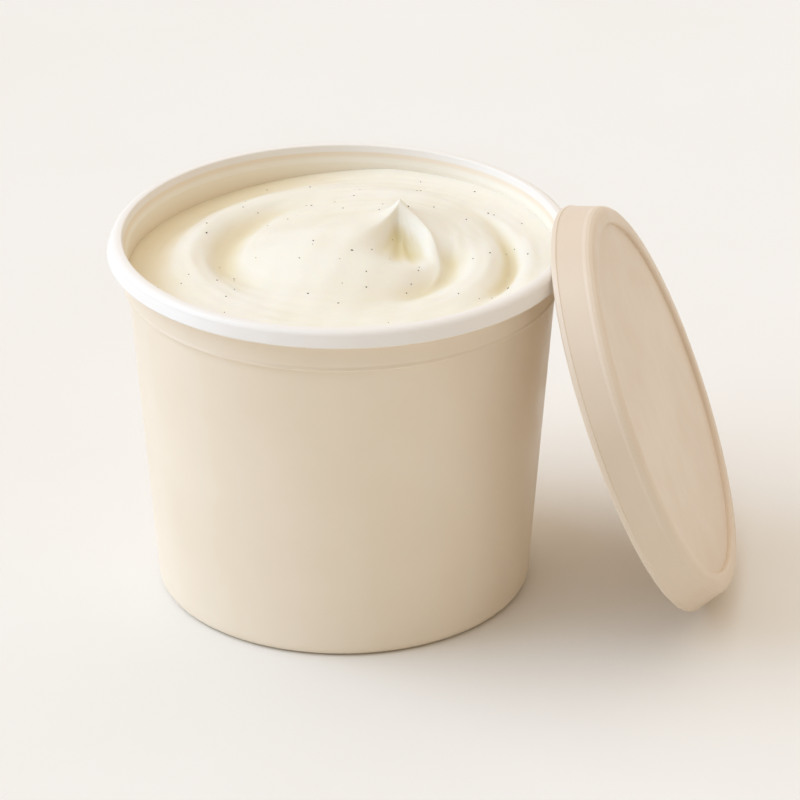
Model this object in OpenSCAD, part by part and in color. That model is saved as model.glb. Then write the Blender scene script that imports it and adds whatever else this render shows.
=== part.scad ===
// A yogurt pot: a tapered tub with a stepped band and a beaded rim, swirled yogurt
// filled almost to the top, and a shallow lid that leans on the rim.
// Z is up, the floor is at z = 0, the pot's axis is the Z axis, and the lid leans along +X.

/* [Pot] */
// Diameter over the rim
rim_d = 95.6; // [80:0.2:120]
// Height of the pot
pot_h = 77.3; // [60:0.1:110]
// Diameter of the base, before its edge is rounded
base_d = 77; // [60:0.2:90]
// Thickness of the moulded wall
wall_t = 0.8; // [0.6:0.05:1.2]
// Thickness of the floor
floor_t = 1; // [0.6:0.05:2]
// Radius of the rounded base edge
base_edge_r = 2.2; // [1.5:0.1:5]

/* [Rim and band] */
// Height of the rim bead
rim_h = 3.5; // [2.5:0.1:6]
// How far the rim bead stands out from the band
rim_out = 3.3; // [2.4:0.1:4]
// Radius of the rim's upper outer edge
rim_edge_r = 1.7; // [0.3:0.05:1.7]
// How much the rim bead flares out from its top to its lower edge
rim_flare = 0.6; // [0:0.1:1]
// How far the mouth slopes out from the band up to the top of the rim
mouth_out = 0.95; // [0.3:0.05:1.3]
// Height of the straight band under the rim bead
band_h = 6.35; // [3:0.05:12]
// Width of the ledge where the band steps in to the body
ledge_w = 0.8; // [0.4:0.05:1.5]
// How far the fine ridge along the band's lower edge stands out
ridge_out = 0.2; // [0.1:0.05:0.4]

/* [Lid] */
// Depth of the lid
lid_h = 8.5; // [6:0.1:14]
// Thickness of the lid
lid_t = 0.9; // [0.6:0.05:1.4]
// How much smaller in radius the lid is than the band that it drops into
lid_gap = 0.15; // [0.1:0.05:0.8]
// How much the lid's side draws in from its open edge to its face
lid_draft = 1.6; // [0.4:0.1:3]
// Radius of the edge between the lid's side and its face
lid_edge_r = 2.3; // [1:0.1:2.5]
// Width of the raised border around the lid's panel
lid_border_w = 4.2; // [3.2:0.1:8]
// Depth to which the lid's panel is sunk
panel_sink = 1; // [0.3:0.05:1.5]
// How far the bead along the lid's open edge stands out
lip_out = 0.2; // [0.1:0.05:0.6]
// Height of that bead
lip_h = 1.4; // [1:0.1:2]
// Radius of that bead's lower edge
lip_edge_r = 0.6; // [0.2:0.05:0.7]
// Lean of the leaning lid's face from upright
lean = 22; // [15:1:30]
// Space between the leaning lid and the rim
lean_gap = 0.25; // [0.1:0.05:0.5]

/* [Yogurt] */
// Drop from the rim to the yogurt's edge
fill_drop = 4.9; // [3:0.1:12]
// Space between the yogurt and the wall
fill_gap = 0.2; // [0.1:0.01:0.3]
// Height of the peak above the yogurt's edge
peak_h = 9.3; // [6:0.1:14]
// Place of the peak, across
peak_x = 11; // [-16:0.5:16]
// Place of the peak, front to back
peak_y = 8.5; // [-16:0.5:16]
// Rise of the mound in front of the peak
mound_h = 4.3; // [0:0.1:5]
// Rise of the outer fold
fold_h = 0.6; // [0:0.1:3]
// Depth of the swirled groove
groove_d = 2.8; // [0:0.1:4]
// Depth of the hollow scooped beside the peak
scoop_d = 4; // [0:0.1:5]
// Height of the crest that runs from the peak round the hollow
crease_h = 0.9; // [0:0.1:1.5]
// Depth of the dip along the wall
moat_d = 3; // [0:0.1:3.5]

/* [Hidden] */
$fn = 128;
arc_steps = 5;

// Pot: radii and heights that follow from the sizes above
rim_r = rim_d / 2;
band_r = rim_r - rim_out;
band_inner_r = band_r - wall_t;
body_top_r = band_r - ledge_w;
base_r = base_d / 2;
bead_z = pot_h - rim_h;
ledge_z = bead_z - band_h;
mouth_r = band_inner_r + mouth_out;
rim_top_r = rim_r - rim_flare;
low_edge_r = 0.4;
draft = atan((body_top_r - base_r) / ledge_z);
inner_edge_r = base_edge_r - wall_t / 2;
shoulder_h = ledge_w * 0.6;

// Lid: radii from the band that it drops into
lip_r = band_inner_r - lid_gap;
lid_r = lip_r - lip_out;
face_r = lid_r - lid_draft;
panel_r = face_r - lid_border_w;
inner_h = lid_h - lid_t - panel_sink;

// Yogurt: its mesh, and the places of its swirl, crest and dip
fill_z = pot_h - fill_drop;
turns_n = 96;
rings_n = 30;
tip = [peak_x, peak_y];
mound_c = [-1.2, -5];
swirl_c = [2.3, -2];
swirl_start = 18;
swirl_r = 19;
swirl_margin = 12;
swirl_growth = band_inner_r - swirl_r - swirl_margin;
swirl_end = 1.18;
crease_c = tip - [7, 15.5];
crease_r = 16.7;
dip_from = band_inner_r - 14;
dip_to = band_inner_r - 4;
dip_angle = 155;

// Points of an arc about c, from angle a to angle b
function arc(c, r, a, b, n = arc_steps) =
    [for (i = [0 : n]) let (t = a + (b - a) * i / n) c + r * [cos(t), sin(t)]];

// Smooth step from 0 at a to 1 at b
function ease(a, b, x) = let (t = max(0, min(1, (x - a) / (b - a)))) t * t * (3 - 2 * t);

// Radius of the body's outer and inner side at height z
function body_r(z) = base_r + z * tan(draft);
function body_inner_r(z) = body_r(z) - wall_t / cos(draft);

// Centre of an edge rounded to r, between a level floor at z and a side at radius s there
function edge_centre(s, z, r) = [s - r * (1 - sin(draft)) / cos(draft), z + r];

// Inner side of the pot from its floor up to the band, as [radius, height]
function inner_side() = concat(
    arc(edge_centre(body_inner_r(floor_t), floor_t, inner_edge_r), inner_edge_r, -90, -draft),
    [[body_inner_r(ledge_z), ledge_z], [band_inner_r, ledge_z + shoulder_h]]);

function reversed(v) = [for (i = [len(v) - 1 : -1 : 0]) v[i]];

// Outer side of the pot from its base up to its top, as [radius, height]
function outer_side() = concat(
    arc(edge_centre(base_r, 0, base_edge_r), base_edge_r, -90, -draft),
    [[body_top_r, ledge_z - shoulder_h]],
    arc([band_r - ridge_out, ledge_z + ridge_out], 2 * ridge_out, -60, 30, 4),
    [[band_r, ledge_z + 4 * ridge_out], [band_r, bead_z]],
    arc([rim_r - low_edge_r, bead_z + low_edge_r], low_edge_r, -90, 10),
    arc([rim_top_r - rim_edge_r, pot_h - rim_edge_r], rim_edge_r, 10, 90));

module pot() {
    mouth_edge = arc([mouth_r + low_edge_r, pot_h - low_edge_r], low_edge_r, 90, 180);
    color("ivory")
        rotate_extrude()
            polygon(concat([[0, 0]], outer_side(), mouth_edge, [[band_inner_r, bead_z]],
                reversed(inner_side()), [[0, floor_t]]));
}

// Radius of the swirled groove after t turns
function groove_r(t) = swirl_r + swirl_growth * pow(t, 0.92);

// Depth of the groove after t turns: it is deepest after 0.1, 0.6 and 1.1 turns
function groove_depth(t) =
    t <= 0 || t >= swirl_end ? 0
    : groove_d * (0.38 + 0.62 * cos(720 * (t - 0.085)))
        * ease(0, 0.06, t) * (1 - ease(swirl_end - 0.12, swirl_end, t));

// Half-width of the groove after t turns: it narrows to a crease
function groove_w(t) = 3.7 - 1.6 * ease(0.7, 1.05, t);

// Groove and the fold outside it, for the turn that lies at polar place (r, t)
function swirl_at(r, t) =
    let (u = r - groove_r(max(t, 0)), w = groove_w(t), d = groove_depth(t))
    d * (0.15 * exp(-pow((u - 1.9 * w) / (1.2 * w), 2)) - exp(-pow(u / w, 2)));

function swirl(p) =
    let (q = p - swirl_c, r = norm(q), a = atan2(q.y, q.x),
         t = (swirl_start - a + 360) % 360 / 360)
    swirl_at(r, t) + swirl_at(r, t + 1);

function mound(p) = mound_h * (1 - ease(3, 22, norm(p - mound_c)));

// The outer fold, and the dip along the wall on the left
function edge_form(p) =
    let (r = norm(p), a = (atan2(p.y, p.x) - dip_angle + 540) % 360 - 180,
         side = max(0, cos(1.25 * a)))
    fold_h * ease(8, 20, r) * (1 - ease(dip_from, band_inner_r, r))
    - moat_d * side * ease(dip_from, dip_to, r);

// The peak: a cusp that stands on the mound and the fold
function peak(p) =
    let (q = p - tip, k = [q.x > 0 ? 0.8 : 1, q.y > 0 ? 0.95 : 0.85])
    (peak_h - mound(tip) - edge_form(tip)) * exp(-pow(norm([q.x * k.x, q.y * k.y]) / 8.2, 0.85));

// Distance of p inward from the crest's arc
function inside_crease(p) = crease_r - norm(p - crease_c);

// The hollow that fans out in front of the peak, from a steep left side to the crest
function scoop(p) =
    let (q = p - tip, a = atan2(q.y, q.x))
    -scoop_d * ease(-122, -88, a > 90 ? a - 360 : a) * ease(0, 4.5, inside_crease(p))
        * (1 - ease(8.5, 21.5, norm(q)));

// The crest that runs from the peak round the hollow's right side
function crease(p) =
    let (q = p - crease_c, u = inside_crease(p), a = atan2(q.y, q.x))
    crease_h * ease(70, 45, a) * ease(-32, -5, a) * exp(u > 0 ? -u / 2.8 : u / 0.9);

function surface_z(p) =
    fill_z + mound(p) + edge_form(p) + peak(p) + scoop(p) + crease(p) + swirl(p);

// Radius of the yogurt's side at height z: the wall's, less the space between them
function side_r(z) =
    lookup(z - fill_gap, [for (q = inner_side()) [q.y, q.x]]) - fill_gap;

module yogurt() {
    rows = [for (q = reversed(inner_side())) q.y + fill_gap];
    foot_z = floor_t + fill_gap;
    last = rings_n + len(rows);
    function ray(j) = [cos(360 * j / turns_n), sin(360 * j / turns_n)];
    function edge_z(j) = surface_z(band_inner_r * ray(j));
    top_points = [for (i = [1 : rings_n], j = [0 : turns_n - 1])
        let (s = pow(i / rings_n, 1.25), p = tip * (1 - s) + side_r(edge_z(j)) * s * ray(j))
        [p.x, p.y, surface_z(p)]];
    side_points = [for (i = [0 : len(rows) - 1], j = [0 : turns_n - 1])
        let (z = min(rows[i], edge_z(j) - (i + 1) * fill_gap), p = side_r(z) * ray(j))
        [p.x, p.y, z]];
    points = concat([[tip.x, tip.y, surface_z(tip)]], top_points, side_points,
        [[0, 0, foot_z]]);
    function at(i, j) = 1 + i * turns_n + j % turns_n;
    crown = [for (j = [0 : turns_n - 1]) [0, at(0, j + 1), at(0, j)]];
    skirt = [for (i = [0 : last - 2], j = [0 : turns_n - 1], half = [0, 1])
        half == 0 ? [at(i, j), at(i, j + 1), at(i + 1, j + 1)]
        : [at(i, j), at(i + 1, j + 1), at(i + 1, j)]];
    sole = [for (j = [0 : turns_n - 1])
        [len(points) - 1, at(last - 1, j), at(last - 1, j + 1)]];
    color("cornsilk")
        polyhedron(points, concat(crown, skirt, sole));
}

// The lid with its open edge at z = 0 and its face up
module lid_upright() {
    inner_edge = lid_edge_r - lid_t / 2;
    border_edge = panel_sink * 0.6;
    section = concat(
        [[lid_r - lid_t, 0]],
        arc([lip_r - lip_edge_r, lip_edge_r], lip_edge_r, -90, 0),
        [[lip_r, lip_h - lip_out], [lid_r, lip_h]],
        arc([face_r - lid_edge_r, lid_h - lid_edge_r], lid_edge_r, 0, 90),
        arc([panel_r + border_edge, lid_h - border_edge], border_edge, 90, 180),
        [[panel_r, lid_h - panel_sink], [0, lid_h - panel_sink], [0, inner_h],
         [panel_r - lid_t, inner_h], [panel_r + panel_sink - lid_t, lid_h - lid_t]],
        reversed(arc([face_r - lid_t - inner_edge, lid_h - lid_t - inner_edge],
            inner_edge, 0, 90)));
    rotate_extrude()
        polygon(section);
}

// How far out the middle of the lid's open edge has to be for the point q of the pot's
// outer side to touch the edge's ring, or the panel behind it
function reach(q, mid_z) =
    let (up = (q.y - mid_z) / cos(lean),
         half_w2 = max(0, pow(lid_r - lid_t, 2) - pow(up, 2)),
         ring = q.x * q.x > half_w2 ? sqrt(q.x * q.x - half_w2) : 0,
         panel = q.x - inner_h / cos(lean))
    max(ring, panel) + (q.y - mid_z) * tan(lean);

// The leaning lid: its open edge stands on the floor and leans on the pot
module lid() {
    mid_z = (lip_r - lip_edge_r) * cos(lean) + lip_edge_r * (1 - sin(lean));
    top_z = mid_z + lip_r * cos(lean);
    top_r = lookup(top_z, [for (q = outer_side()) [q.y, q.x]]);
    touching = [for (q = outer_side()) if (q.y < top_z) reach(q, mid_z)];
    beside = top_z < pot_h ? [reach([top_r, top_z], mid_z)] : [];
    color("antiquewhite")
        translate([max(concat(touching, beside)) + lean_gap, 0, mid_z])
            rotate([0, 90 - lean, 0])
                lid_upright();
}

pot();
yogurt();
lid();
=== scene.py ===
"""A yogurt pot with its lid leaning on it: finishes for the moulded pot and lid, the swirled
yogurt as a fine mesh, and its vanilla specks. Metres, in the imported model's own frame."""

import math

import bpy
import numpy as np
from mathutils import Matrix, Vector


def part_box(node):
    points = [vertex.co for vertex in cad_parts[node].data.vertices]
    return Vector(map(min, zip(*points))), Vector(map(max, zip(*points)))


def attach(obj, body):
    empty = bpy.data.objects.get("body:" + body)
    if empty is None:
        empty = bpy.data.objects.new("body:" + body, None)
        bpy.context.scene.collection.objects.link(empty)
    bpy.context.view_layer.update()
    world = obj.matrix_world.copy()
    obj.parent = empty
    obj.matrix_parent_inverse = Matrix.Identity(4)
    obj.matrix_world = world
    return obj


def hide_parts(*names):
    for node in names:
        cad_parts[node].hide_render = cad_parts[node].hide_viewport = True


MM = 0.001
UP = Vector((0, 0, 1))
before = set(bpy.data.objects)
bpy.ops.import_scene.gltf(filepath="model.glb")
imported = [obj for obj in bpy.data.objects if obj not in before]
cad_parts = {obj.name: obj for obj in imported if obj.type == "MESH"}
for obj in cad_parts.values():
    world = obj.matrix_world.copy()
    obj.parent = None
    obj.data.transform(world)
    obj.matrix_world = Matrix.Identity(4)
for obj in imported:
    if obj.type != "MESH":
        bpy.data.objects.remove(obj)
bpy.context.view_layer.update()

# ---------------------------------------------------------------- sizes, in millimetres
# The pot, and how full it is
FILL_GAP = 0.2              # space between the CAD yogurt and the wall
WALL_REACH = 0.25           # how far the yogurt's mesh reaches into the wall
POT_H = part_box("pot")[1].z / MM
BAND_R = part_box("yogurt")[1].x / MM + FILL_GAP      # inner radius of the wall along the band
RIM_H = 3.5                 # height of the white rim bead
FILL_DROP = 4.9             # drop from the rim to the yogurt's edge
FILL_Z = POT_H - FILL_DROP
SIDE_MARGIN = 0.6           # the side is read this far below the dip along the wall
LEVEL_DIGITS, LEVEL_SPAN = 2, 0.01          # points this close in height are one level

# The swirl: a groove that winds out from the peak, clockwise. Its turns are counted by t.
SWIRL_C = np.array([2.3, -2.0])
SWIRL_START = 18.0          # angle at which it begins, in degrees
SWIRL_R = 19.0
SWIRL_MARGIN = 12.0         # space left outside it after one turn
SWIRL_GROWTH = BAND_R - SWIRL_R - SWIRL_MARGIN
SWIRL_POWER = 0.92          # below 1, it grows more slowly the further it goes
SWIRL_FADE_IN = 0.06
SWIRL_FADE_OUT = 0.12
SWIRL_END = 1.18
GROOVE_D = 2.8
GROOVE_MEAN, GROOVE_SWING = 0.38, 0.62      # shares of the depth that stay and that vary
GROOVE_DEEPEST = 0.085      # the first turn at which it is deepest; then every half turn
GROOVE_W, GROOVE_NARROWING = 3.7, 1.6       # half-width, and how much of it is lost
NARROWS = 0.7, 1.05         # turns over which it narrows to a crease
EDGE_FOLD, EDGE_FOLD_AWAY, EDGE_FOLD_W = 0.15, 1.9, 1.2     # in depths and half-widths

# The mound, the outer fold and the dip along the wall
MOUND_C = np.array([-1.2, -5.0])
MOUND_H = 4.3
MOUND_SLOPE = 3, 22
FOLD_H = 0.6
FOLD_SLOPE = 8, 20
DIP_D = 3.0
DIP_FROM = BAND_R - 14.0
DIP_TO = BAND_R - 4.0
DIP_ANGLE = 155.0
DIP_NARROWING = 1.25        # 1 would spread the dip over half the wall

# The peak, the hollow beside it and the crest that bounds the hollow
TIP = np.array([11.0, 8.5])
PEAK_H = 9.3
PEAK_REACH, PEAK_POWER = 8.2, 0.85
PEAK_RIGHT, PEAK_BACK, PEAK_FRONT = 0.8, 0.95, 0.85     # steepness on each side, left is 1
SCOOP_D = 4.0
SCOOP_SIDE = -122, -88      # its steep left side, in degrees about the tip
SCOOP_EDGE = 0, 4.5
SCOOP_SLOPE = 8.5, 21.5
CREASE_C = TIP - [7.0, 15.5]
CREASE_R = 16.7
CREASE_H = 0.9
CREASE_START = 70, 45       # degrees about the crest's centre over which it rises
CREASE_STOP = -32, -5       # and over which it sinks again
CREASE_IN, CREASE_OUT = 2.8, 0.9            # widths of its inner and outer slope

# Detail finer than the CAD solid's: lines in the hollow, within a fan about the tip
LINE_H = 0.13
LINES = 26                  # lines in a full turn
FAN_NEAR, FAN_FAR = (2, 6), (13, 19)        # radii over which they begin and end
FAN_LEFT, FAN_RIGHT = (-112, -96), (-62, -50)           # and the same in degrees

# Lines drawn by the spoon along the swirl, and soft low waves
DRAWN_H = 0.08
DRAWN_FROM = 16, 24         # radii about the swirl's centre over which they begin
DRAWN_DRIFT = 10            # how far they move out in one turn
DRAWN_PITCH = 2.1           # radians for each millimetre
DRAWN_WOBBLE = 0.9
PATCH_X, PATCH_Y = (0.31, 1.3), (0.27, -0.8)            # pitch and start of the patches
UNEVEN_H = 0.09
UNEVEN_FROM = 5, 12
UNEVEN_ONE, UNEVEN_TWO = (0.55, 0.23), (-0.37, 0.41)    # pitch of two crossing waves
UNEVEN_SHIFT = 1.1
CALM = 38, 43               # radii over which the detail fades towards the wall

# The yogurt's mesh
TURNS, RINGS = 360, 190
RING_POWER = 1.3            # above 1, the rings lie closer near the peak
HOLLOW_RADII = 3.0, 6.0     # the surface around a point is sampled at these distances, to place the painted shade in the hollows
HOLLOW_SAMPLES = 8
HOLLOW_RANGE = -1, 3

# The vanilla specks
SPECKS = 70
SPECK_SEED = 7
SPECK_FIELD_R = 40.5
SPECK_CLEAR = 0.02          # share of the field's area, in its middle, without specks
SPECK_SIZES, SPECK_SHARES = [0.2, 0.26, 0.32, 0.4], [0.35, 0.3, 0.25, 0.1]
SPECK_STRETCH = 1.0, 1.5
SPECK_FLATTENING = 0.55
SPECK_BUMPS, SPECK_BUMP_H = 3, 0.15
SPECK_LIFT = 0.1            # how far its middle stands out, in half sizes
SPECK_ROWS, SPECK_COLUMNS = 5, 8
SLOPE_STEP = 0.3

# ---------------------------------------------------------------- colours, sRGB of 0 to 255
POT_LIGHT, POT_DEEP = (246, 232, 210), (242, 227, 203)
POT_FLOW = (244, 234, 216)          # pale streaks down the wall
POT_MOUTH_PAINTED_LIGHT = (249, 242, 226)         # painted light: the inside of the wall above the yogurt, paler as if lit through the thin wall
POT_RIM = (248, 243, 235)
LID_LIGHT, LID_DEEP = (237, 221, 200), (232, 214, 191)
YOGURT_LIGHT, YOGURT_DEEP = (250, 245, 232), (247, 241, 224)
# painted shade: a yellower, darker cream for the hollows of the swirl
YOGURT_HOLLOW_SHADE = (232, 219, 176)
YOGURT_WALL_SHADE = (236, 222, 188)       # painted shade, low along the wall where the wall shades the yogurt
SPECK_LIGHT, SPECK_DARK = (92, 66, 44), (58, 40, 28)
FLOOR_LIGHT, FLOOR_DEEP = (245, 242, 236), (243, 240, 233)

# Where the colours begin and end, in millimetres
PAINTED_LIGHT_DROPS = 9, 3                          # the painted light on the wall inside the mouth, as drops from the pot's top
BEAD_DROPS = RIM_H + 0.2, RIM_H - 0.4       # the white bead's lower edge
TOP_DROPS = 1.6, 1.2                        # the white top, inside and out
WALL_STEPS = 0.2, 0.5                       # steps out from the band's inner radius
BEAD_STEPS = 0.8, 1.5
HOLLOW_SHADE_DEPTHS = -0.3, 2.2                     # depths of the hollows over which the painted shade grows
WALL_SHADE_HEIGHTS = -2.2, 0.6                       # heights from the yogurt's edge over which the painted shade fades
WALL_SHADE_SHARE = 0.9
PLASTIC_IOR = 1.49

# ---------------------------------------------------------------- camera and lights
CAMERA_PLACE = 0.1184, -0.9930, 0.53129
CAMERA_PITCH = 0.45722              # radians, downwards
CAMERA_YAW = 0.01177 - math.radians(6.8)    # fitted yaw, less the turn of the part's axes
CAMERA_ROLL = -0.00242
CAMERA_LENS = 242.92
CAMERA_SENSOR = 36.0
CAMERA_CLIP = 20
FLOOR_HALF = 3000.0                 # millimetres

# name, azimuth, elevation and spread in degrees, power, colour
SUNS = [
    ("low key", 184, 30, 60, 1.9, (0.66, 0.79, 1.0)),
    ("high key", 208, 60, 60, 0.72, (0.72, 0.85, 1.0)),
    ("overhead", 0, 85, 90, 0.55, (1.0, 0.885, 0.765)),
]
FILL_COLOUR = (1.0, 0.88, 0.755, 1)
FILL_TOWARDS = (0.6, 0.8, 0)        # the side on which the fill is strongest
FILL_SPAN = 0.9
FILL_WEAK, FILL_STRONG = 0.3, 0.68


def ease(a, b, x):
    """Smooth step from 0 at a to 1 at b."""
    t = np.clip((x - a) / (b - a), 0, 1)
    return t * t * (3 - 2 * t)


def polar(x, y, centre=(0.0, 0.0)):
    """Radius and angle in degrees about centre."""
    dx, dy = x - centre[0], y - centre[1]
    return np.hypot(dx, dy), np.degrees(np.arctan2(dy, dx))


def turned(angle, zero):
    """Angle from zero, between -180 and 180."""
    return (angle - zero + 540) % 360 - 180


# ---------------------------------------------------------------- the yogurt's surface
def turns_from(angle):
    """The first turn of the swirl that passes angle, as a share of a full turn."""
    return (SWIRL_START - angle + 360) % 360 / 360


def groove_at(r, t):
    """Groove and the fold outside it, for the turn at polar place (r, t)."""
    depth = GROOVE_D * (GROOVE_MEAN + GROOVE_SWING * np.cos(4 * math.pi * (t - GROOVE_DEEPEST)))
    depth = depth * ease(0, SWIRL_FADE_IN, t)
    depth = depth * (1 - ease(SWIRL_END - SWIRL_FADE_OUT, SWIRL_END, t))
    width = GROOVE_W - GROOVE_NARROWING * ease(*NARROWS, t)
    u = r - SWIRL_R - SWIRL_GROWTH * np.maximum(t, 0) ** SWIRL_POWER
    fold = EDGE_FOLD * np.exp(-((u - EDGE_FOLD_AWAY * width) / (EDGE_FOLD_W * width)) ** 2)
    return depth * (fold - np.exp(-(u / width) ** 2))


def swirl(x, y):
    r, a = polar(x, y, SWIRL_C)
    t = turns_from(a)
    return groove_at(r, t) + groove_at(r, t + 1)


def mound(x, y):
    return MOUND_H * (1 - ease(*MOUND_SLOPE, polar(x, y, MOUND_C)[0]))


def edge_form(x, y):
    """The outer fold, and the dip along the wall on the left."""
    r, a = polar(x, y)
    side = np.maximum(0, np.cos(np.radians(DIP_NARROWING * turned(a, DIP_ANGLE))))
    fold = FOLD_H * ease(*FOLD_SLOPE, r) * (1 - ease(DIP_FROM, BAND_R, r))
    return fold - DIP_D * side * ease(DIP_FROM, DIP_TO, r)


def peak(x, y):
    """A cusp that stands on the mound and the fold."""
    dx, dy = x - TIP[0], y - TIP[1]
    away = np.hypot(dx * np.where(dx > 0, PEAK_RIGHT, 1.0),
                    dy * np.where(dy > 0, PEAK_BACK, PEAK_FRONT))
    rise = PEAK_H - mound(*TIP) - edge_form(*TIP)
    return rise * np.exp(-(away / PEAK_REACH) ** PEAK_POWER)


def inside_crease(x, y):
    """Distance inward from the crest's arc."""
    return CREASE_R - polar(x, y, CREASE_C)[0]


def scoop(x, y):
    """The hollow that fans out in front of the peak, from a steep left side to the crest."""
    r, a = polar(x, y, TIP)
    a = np.where(a > 90, a - 360, a)
    across = ease(*SCOOP_SIDE, a) * ease(*SCOOP_EDGE, inside_crease(x, y))
    return -SCOOP_D * across * (1 - ease(*SCOOP_SLOPE, r))


def crease(x, y):
    """The crest that runs from the peak round the hollow's right side."""
    a = polar(x, y, CREASE_C)[1]
    u = inside_crease(x, y)
    along = ease(*CREASE_START, a) * ease(*CREASE_STOP, a)
    return CREASE_H * along * np.where(u > 0, np.exp(-u / CREASE_IN), np.exp(u / CREASE_OUT))


def hollow_lines(x, y):
    """Fine lines that fan out from the peak along the hollow's left side."""
    r, a = polar(x, y, TIP)
    fan = (ease(*FAN_NEAR, r) * (1 - ease(*FAN_FAR, r))
           * ease(*FAN_LEFT, a) * (1 - ease(*FAN_RIGHT, a)))
    return LINE_H * fan * np.sin(np.radians(a * LINES))


def drawn_lines(x, y):
    """Lines drawn by the spoon along the swirl, in patches."""
    r, a = polar(x, y, SWIRL_C)
    wobble = DRAWN_WOBBLE * np.sin(np.radians(a * 2))
    wave = np.sin((r - DRAWN_DRIFT * turns_from(a)) * DRAWN_PITCH + wobble)
    (pitch_x, start_x), (pitch_y, start_y) = PATCH_X, PATCH_Y
    patch = 0.5 + 0.5 * np.sin(pitch_x * x + start_x) * np.cos(pitch_y * y + start_y)
    return DRAWN_H * (wave * ease(*DRAWN_FROM, r)) * patch


def unevenness(x, y):
    """Soft low waves, away from the peak."""
    one = np.sin(UNEVEN_ONE[0] * x + UNEVEN_ONE[1] * y)
    two = np.cos(UNEVEN_TWO[0] * x + UNEVEN_TWO[1] * y + UNEVEN_SHIFT)
    return UNEVEN_H * one * two * ease(*UNEVEN_FROM, polar(x, y, TIP)[0])


def fine_folds(x, y):
    """Detail finer than the CAD solid's."""
    calm = 1 - ease(*CALM, polar(x, y)[0])
    return hollow_lines(x, y) + (drawn_lines(x, y) + unevenness(x, y)) * calm


def surface_z(x, y):
    return (FILL_Z + mound(x, y) + edge_form(x, y) + peak(x, y) + scoop(x, y) + crease(x, y)
            + swirl(x, y) + fine_folds(x, y))


# ---------------------------------------------------------------- meshes
def mesh_object(name, points, faces, material, smooth=True):
    """A mesh object from points in millimetres."""
    mesh = bpy.data.meshes.new(name)
    mesh.from_pydata([tuple(p) for p in np.asarray(points) * MM], [], faces)
    mesh.update()
    if smooth:
        mesh.shade_smooth()
    else:
        mesh.shade_flat()
    mesh.materials.append(material)
    obj = bpy.data.objects.new(name, mesh)
    bpy.context.scene.collection.objects.link(obj)
    return obj


def points_of(obj):
    """The object's points in millimetres."""
    return np.array([v.co for v in obj.data.vertices]) / MM


def side_profile():
    """[radius, height] of the yogurt's side from the top down, read from its CAD solid."""
    points = points_of(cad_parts["yogurt"])
    low = points[points[:, 2] < FILL_Z - DIP_D - SIDE_MARGIN]
    rows = sorted({round(z, LEVEL_DIGITS) for z in low[:, 2]}, reverse=True)
    radius = np.hypot(low[:, 0], low[:, 1])
    return [(radius[abs(low[:, 2] - z) < LEVEL_SPAN].max(), z) for z in rows]


def yogurt_rows():
    """Rings of points from the peak out to the wall, then down the side."""
    angle = np.radians(np.arange(TURNS) * 360 / TURNS)
    ray = np.stack([np.cos(angle), np.sin(angle)], -1)
    rows = []
    for i in range(1, RINGS + 1):
        s = (i / RINGS) ** RING_POWER
        flat = TIP * (1 - s) + (BAND_R + WALL_REACH) * s * ray
        rows.append(np.column_stack([flat, surface_z(flat[:, 0], flat[:, 1])]))
    for radius, z in side_profile():
        reached = ray * (radius + (FILL_GAP + WALL_REACH))
        rows.append(np.column_stack([reached, np.full(TURNS, z)]))
    return rows


def yogurt_mesh(material):
    """The rings of points, closed at the peak's tip and at the foot."""
    rows = yogurt_rows()
    tip = [[TIP[0], TIP[1], surface_z(*TIP)]]
    foot = [[0, 0, rows[-1][0][2]]]
    points = np.concatenate([tip] + rows + [foot])
    last = len(rows) - 1

    def at(i, j):
        return 1 + i * TURNS + j % TURNS

    faces = [(0, at(0, j), at(0, j + 1)) for j in range(TURNS)]
    faces += [(at(i, j), at(i + 1, j), at(i + 1, j + 1), at(i, j + 1))
              for i in range(last) for j in range(TURNS)]
    faces += [(len(points) - 1, at(last, j + 1), at(last, j)) for j in range(TURNS)]
    return mesh_object("swirled_yogurt", points, faces, material)


def store_hollows(obj):
    """Keep on each point how far it lies below the surface around it, in millimetres, for the
    painted shade in the hollows.
    """
    points = points_of(obj)
    x, y = points[:, 0], points[:, 1]
    angles = np.arange(HOLLOW_SAMPLES) * 2 * math.pi / HOLLOW_SAMPLES
    around = [surface_z(x + r * math.cos(a), y + r * math.sin(a))
              for r in HOLLOW_RADII for a in angles]
    depth = np.mean(around, 0) - surface_z(x, y)
    layer = obj.data.attributes.new("hollow", "FLOAT", "POINT")
    layer.data.foreach_set("value", np.clip(depth, *HOLLOW_RANGE).astype(np.float32))


def surface_normal(x, y):
    step = SLOPE_STEP
    slope_x = (surface_z(x + step, y) - surface_z(x - step, y)) / (2 * step)
    slope_y = (surface_z(x, y + step) - surface_z(x, y - step)) / (2 * step)
    return Vector((-slope_x, -slope_y, 1)).normalized()


def speck_points(rng):
    """One flattened, uneven grain, half sunk in the yogurt's surface."""
    r = SPECK_FIELD_R * math.sqrt(rng.uniform(SPECK_CLEAR, 1))
    a = rng.uniform(0, 2 * math.pi)
    x, y = r * math.cos(a), r * math.sin(a)
    half = 0.5 * rng.choice(SPECK_SIZES, p=SPECK_SHARES)
    long, turn = rng.uniform(*SPECK_STRETCH), rng.uniform(0, math.pi)
    up = surface_normal(x, y)
    tilt = UP.rotation_difference(up).to_matrix() @ Matrix.Rotation(turn, 3, "Z")
    centre = Vector((x, y, surface_z(x, y))) + up * SPECK_LIFT * half
    points = []
    for i in range(SPECK_ROWS + 1):
        for j in range(SPECK_COLUMNS):
            down, around = math.pi * i / SPECK_ROWS, 2 * math.pi * j / SPECK_COLUMNS
            bump = 1 + SPECK_BUMP_H * math.sin(SPECK_BUMPS * around + 5 * turn)
            local = Vector((math.sin(down) * math.cos(around) * long * bump,
                            math.sin(down) * math.sin(around) * bump,
                            SPECK_FLATTENING * math.cos(down))) * half
            points.append(centre + tilt @ local)
    return points


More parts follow.
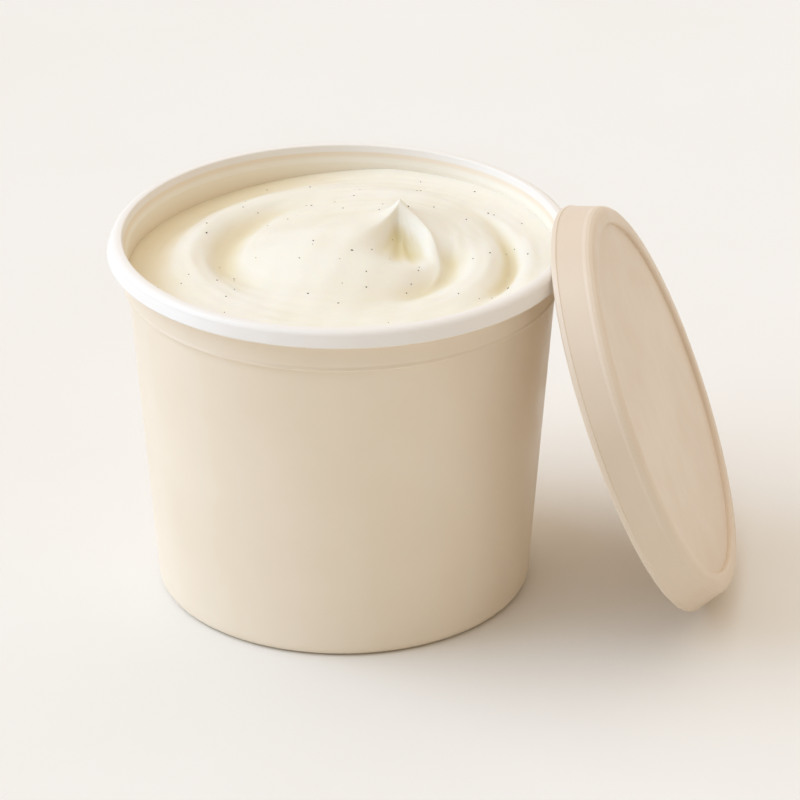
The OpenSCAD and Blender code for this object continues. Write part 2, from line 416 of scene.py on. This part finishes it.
def speck_faces(first):
    """Faces of the grain whose points begin at first."""
    faces = []
    for i in range(SPECK_ROWS):
        for j in range(SPECK_COLUMNS):
            k = (j + 1) % SPECK_COLUMNS
            above, below = first + i * SPECK_COLUMNS, first + (i + 1) * SPECK_COLUMNS
            faces.append((above + j, below + j, below + k, above + k))
    return faces


def speck_mesh(material):
    """Vanilla specks, scattered over the yogurt."""
    rng = np.random.default_rng(SPECK_SEED)
    points, faces = [], []
    for _ in range(SPECKS):
        faces += speck_faces(len(points))
        points += speck_points(rng)
    return mesh_object("vanilla_specks", points, faces, material)


# ---------------------------------------------------------------- materials
def linear(rgb):
    """Linear colour from sRGB numbers of 0 to 255."""
    return [((c / 255 + 0.055) / 1.055) ** 2.4 for c in rgb] + [1.0]


def ramp_node(tree, low, high, to_low, to_high):
    """A smooth step from to_low at low to to_high at high."""
    node = tree.nodes.new("ShaderNodeMapRange")
    node.interpolation_type = "SMOOTHSTEP"
    for socket, number in zip(("From Min", "From Max", "To Min", "To Max"),
                              (low, high, to_low, to_high)):
        node.inputs[socket].default_value = number
    return node


class Nodes:
    """Short calls for the nodes of one material."""

    def __init__(self, name, **sockets):
        self.material = bpy.data.materials.new(name)
        self.material.use_nodes = True
        self.tree = self.material.node_tree
        self.shader = self.tree.nodes["Principled BSDF"]
        for socket, value in sockets.items():
            self.shader.inputs[socket.replace("_", " ")].default_value = value
        self.place = self.tree.nodes.new("ShaderNodeTexCoord").outputs["Object"]

    def link(self, source, target):
        self.tree.links.new(source, target)

    def scaled(self, scale):
        """The place, stretched by scale along X, Y and Z."""
        node = self.tree.nodes.new("ShaderNodeMapping")
        node.inputs["Scale"].default_value = scale
        self.link(self.place, node.inputs["Vector"])
        return node.outputs["Vector"]

    def noise(self, scale, detail=3.0, place=None):
        node = self.tree.nodes.new("ShaderNodeTexNoise")
        node.inputs["Scale"].default_value = scale
        node.inputs["Detail"].default_value = detail
        self.link(place or self.place, node.inputs["Vector"])
        return node.outputs["Fac"]

    def math(self, operation, a, b=0.0):
        node = self.tree.nodes.new("ShaderNodeMath")
        node.operation = operation
        for socket, value in zip(node.inputs, (a, b)):
            if isinstance(value, (int, float)):
                socket.default_value = value
            else:
                self.link(value, socket)
        return node.outputs[0]

    def ramp(self, value, low, high, to_low=0.0, to_high=1.0):
        """Smooth step of value between low and high."""
        node = ramp_node(self.tree, low, high, to_low, to_high)
        self.link(value, node.inputs["Value"])
        return node.outputs["Result"]

    def mix(self, factor, a, b):
        """Colour between a and b, each a colour or a socket."""
        node = self.tree.nodes.new("ShaderNodeMix")
        node.data_type = "RGBA"
        self.link(factor, node.inputs["Factor"])
        for socket, value in ((node.inputs[6], a), (node.inputs[7], b)):
            if isinstance(value, list):
                socket.default_value = value
            else:
                self.link(value, socket)
        return node.outputs[2]

    def clouded(self, light, deep, scale, detail, low=0.3, high=0.7):
        """A colour that drifts between light and deep as the noise goes from low to high."""
        cloud = self.ramp(self.noise(scale, detail), low, high)
        return self.mix(cloud, linear(light), linear(deep))

    def xyz(self):
        node = self.tree.nodes.new("ShaderNodeSeparateXYZ")
        self.link(self.place, node.inputs[0])
        return node.outputs

    def radius(self):
        """Distance from the pot's axis."""
        x, y, _ = self.xyz()
        return self.math("SQRT", self.math("ADD", self.math("MULTIPLY", x, x),
                                           self.math("MULTIPLY", y, y)))

    def bump(self, height, distance, strength=1.0):
        node = self.tree.nodes.new("ShaderNodeBump")
        node.inputs["Distance"].default_value = distance
        node.inputs["Strength"].default_value = strength
        self.link(height, node.inputs["Height"])
        self.link(node.outputs["Normal"], self.shader.inputs["Normal"])

    def colour(self, socket):
        self.link(socket, self.shader.inputs["Base Color"])

    def uneven_gloss(self, scale, low, high):
        """Roughness that drifts between low and high."""
        gloss = self.ramp(self.noise(scale, 3), 0.3, 0.7, low, high)
        self.link(gloss, self.shader.inputs["Roughness"])


def moulded_plastic(nodes, light, deep, rough):
    """What both moulded pieces share: faint clouding, fine satin grain and uneven gloss."""
    grain = nodes.math("MULTIPLY", nodes.noise(scale=2600, detail=2), 0.35)
    waves = nodes.noise(scale=90, detail=2)
    nodes.bump(nodes.math("ADD", grain, waves), distance=0.04 * MM, strength=0.6)
    nodes.uneven_gloss(scale=160, low=rough - 0.05, high=rough + 0.06)
    return nodes.clouded(light, deep, scale=34, detail=4)


def pot_material():
    """Cream plastic with a white rim, and painted light on the wall inside above the yogurt:
    paler, as if lit through the thin plastic.
    """
    nodes = Nodes("pot plastic", IOR=PLASTIC_IOR)
    z, radius = nodes.xyz()[2], nodes.radius()

    def higher(drops):
        """Rises from 0 to 1 between two heights, given as drops from the pot's top."""
        return nodes.ramp(z, (POT_H - drops[0]) * MM, (POT_H - drops[1]) * MM)

    def further(steps, to_low=0, to_high=1):
        """Steps from to_low to to_high between two radii, given as steps from the band's."""
        return nodes.ramp(radius, (BAND_R + steps[0]) * MM, (BAND_R + steps[1]) * MM,
                          to_low, to_high)

    body = moulded_plastic(nodes, POT_LIGHT, POT_DEEP, rough=0.34)
    flow = nodes.noise(scale=110, detail=2, place=nodes.scaled((1, 1, 0.06)))
    body = nodes.mix(nodes.ramp(flow, 0.45, 0.75, 0, 0.35), body, linear(POT_FLOW))
    # Painted light: the wall inside the mouth is paler, as if lit through the thin plastic.
    painted_light_mask = nodes.math("MULTIPLY", higher(PAINTED_LIGHT_DROPS), further(WALL_STEPS, 1, 0))
    body = nodes.mix(painted_light_mask, body, linear(POT_MOUTH_PAINTED_LIGHT))
    bead = nodes.math("MULTIPLY", higher(BEAD_DROPS), further(BEAD_STEPS))
    rim = nodes.math("MAXIMUM", bead, higher(TOP_DROPS))
    nodes.colour(nodes.mix(rim, body, linear(POT_RIM)))
    return nodes.material


def lid_material():
    nodes = Nodes("lid plastic", IOR=PLASTIC_IOR)
    nodes.colour(moulded_plastic(nodes, LID_LIGHT, LID_DEEP, rough=0.4))
    return nodes.material


def yogurt_material():
    """Soft cream, with painted shade, yellower and darker, in the hollows and low along the
    wall.
    """
    nodes = Nodes("vanilla yogurt", IOR=1.36, Subsurface_Weight=0.2, Subsurface_Scale=0.003,
                  Subsurface_Radius=(1.0, 0.75, 0.45), Coat_Weight=0.2, Coat_Roughness=0.22)
    cream = nodes.clouded(YOGURT_LIGHT, YOGURT_DEEP, scale=45, detail=4)
    hollow = nodes.tree.nodes.new("ShaderNodeAttribute")
    hollow.attribute_name = "hollow"
    # Painted shade: yellower and darker where the surface lies below its surroundings.
    hollow_shade_mask = nodes.ramp(hollow.outputs["Fac"], *HOLLOW_SHADE_DEPTHS)
    cream = nodes.mix(hollow_shade_mask, cream, linear(YOGURT_HOLLOW_SHADE))
    z = nodes.xyz()[2]
    # Painted shade: the yogurt is yellower and darker low along the wall, where the wall shades
    # it.
    low = nodes.ramp(z, *((FILL_Z + step) * MM for step in WALL_SHADE_HEIGHTS), WALL_SHADE_SHARE, 0)
    nodes.colour(nodes.mix(low, cream, linear(YOGURT_WALL_SHADE)))
    waves = nodes.math("MULTIPLY", nodes.noise(scale=260, detail=2), 1.5)
    curd = nodes.math("ADD", nodes.noise(scale=900), waves)
    nodes.bump(curd, distance=0.06 * MM, strength=0.7)
    nodes.uneven_gloss(scale=120, low=0.3, high=0.46)
    return nodes.material


def speck_material():
    nodes = Nodes("vanilla seed", Roughness=0.6)
    nodes.colour(nodes.clouded(SPECK_LIGHT, SPECK_DARK, 3000, 1, low=0.35, high=0.65))
    return nodes.material


def floor_material():
    nodes = Nodes("studio floor", Roughness=0.8, Specular_IOR_Level=0.2)
    nodes.colour(nodes.clouded(FLOOR_LIGHT, FLOOR_DEEP, scale=9, detail=5))
    nodes.bump(nodes.noise(scale=700), distance=0.03 * MM, strength=0.5)
    return nodes.material


# ---------------------------------------------------------------- stage
def aim(obj, place, forward, roll=0.0):
    """Put obj at place, looking along forward."""
    ahead = Vector(forward).normalized()
    right = Vector(forward).cross(UP).normalized()
    up = right.cross(Vector(forward)).normalized()
    turn = Matrix((right, up, -ahead)).transposed().to_4x4()
    obj.matrix_world = Matrix.Translation(Vector(place)) @ turn @ Matrix.Rotation(roll, 4, "Z")


def heading(azimuth, elevation):
    """Unit direction from the object towards azimuth and elevation, in degrees."""
    a, e = math.radians(azimuth), math.radians(elevation)
    return Vector((math.cos(a) * math.cos(e), math.sin(a) * math.cos(e), math.sin(e)))


def add_camera():
    camera = bpy.data.cameras.new("camera")
    camera.sensor_width = CAMERA_SENSOR
    camera.lens = CAMERA_LENS
    camera.clip_end = CAMERA_CLIP
    obj = bpy.data.objects.new("camera", camera)
    bpy.context.scene.collection.objects.link(obj)
    level = math.cos(CAMERA_PITCH)
    forward = (math.sin(CAMERA_YAW) * level, math.cos(CAMERA_YAW) * level,
               -math.sin(CAMERA_PITCH))
    aim(obj, CAMERA_PLACE, forward, CAMERA_ROLL)
    bpy.context.scene.camera = obj


def add_floor():
    half = FLOOR_HALF
    corners = [(-half, -half, 0), (half, -half, 0), (half, half, 0), (-half, half, 0)]
    mesh_object("floor", corners, [(0, 1, 2, 3)], floor_material(), smooth=False)


def add_sun(name, azimuth, elevation, spread, power, colour):
    """A far, wide soft light, so that the floor is lit evenly."""
    light = bpy.data.lights.new(name, "SUN")
    light.angle = math.radians(spread)
    light.energy = power
    light.color = colour
    obj = bpy.data.objects.new(name, light)
    bpy.context.scene.collection.objects.link(obj)
    aim(obj, heading(azimuth, elevation), -heading(azimuth, elevation))


def add_fill():
    """A warm fill from all round that is stronger from behind."""
    world = bpy.data.worlds.new("world")
    world.use_nodes = True
    tree = world.node_tree
    direction = tree.nodes.new("ShaderNodeTexCoord").outputs["Generated"]
    along = tree.nodes.new("ShaderNodeVectorMath")
    along.operation = "DOT_PRODUCT"
    along.inputs[1].default_value = FILL_TOWARDS
    behind = ramp_node(tree, -FILL_SPAN, FILL_SPAN, FILL_WEAK, FILL_STRONG)
    background = tree.nodes["Background"]
    background.inputs["Color"].default_value = FILL_COLOUR
    tree.links.new(direction, along.inputs[0])
    tree.links.new(along.outputs["Value"], behind.inputs["Value"])
    tree.links.new(behind.outputs["Result"], background.inputs["Strength"])
    bpy.context.scene.world = world


def add_lights():
    """Cool key lights from the left, a warm one overhead and a warm fill."""
    add_fill()
    for sun in SUNS:
        add_sun(*sun)


def finish_node(name, material):
    """Give a CAD node its material."""
    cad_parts[name].data.materials.clear()
    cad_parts[name].data.materials.append(material)


def main():
    bpy.context.scene.view_settings.view_transform = "Standard"
    finish_node("pot", pot_material())
    finish_node("lid", lid_material())
    yogurt = yogurt_mesh(yogurt_material())
    store_hollows(yogurt)
    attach(yogurt, "root")
    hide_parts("yogurt")
    specks = speck_mesh(speck_material())
    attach(specks, "root")
    add_floor()
    add_camera()
    add_lights()


main()
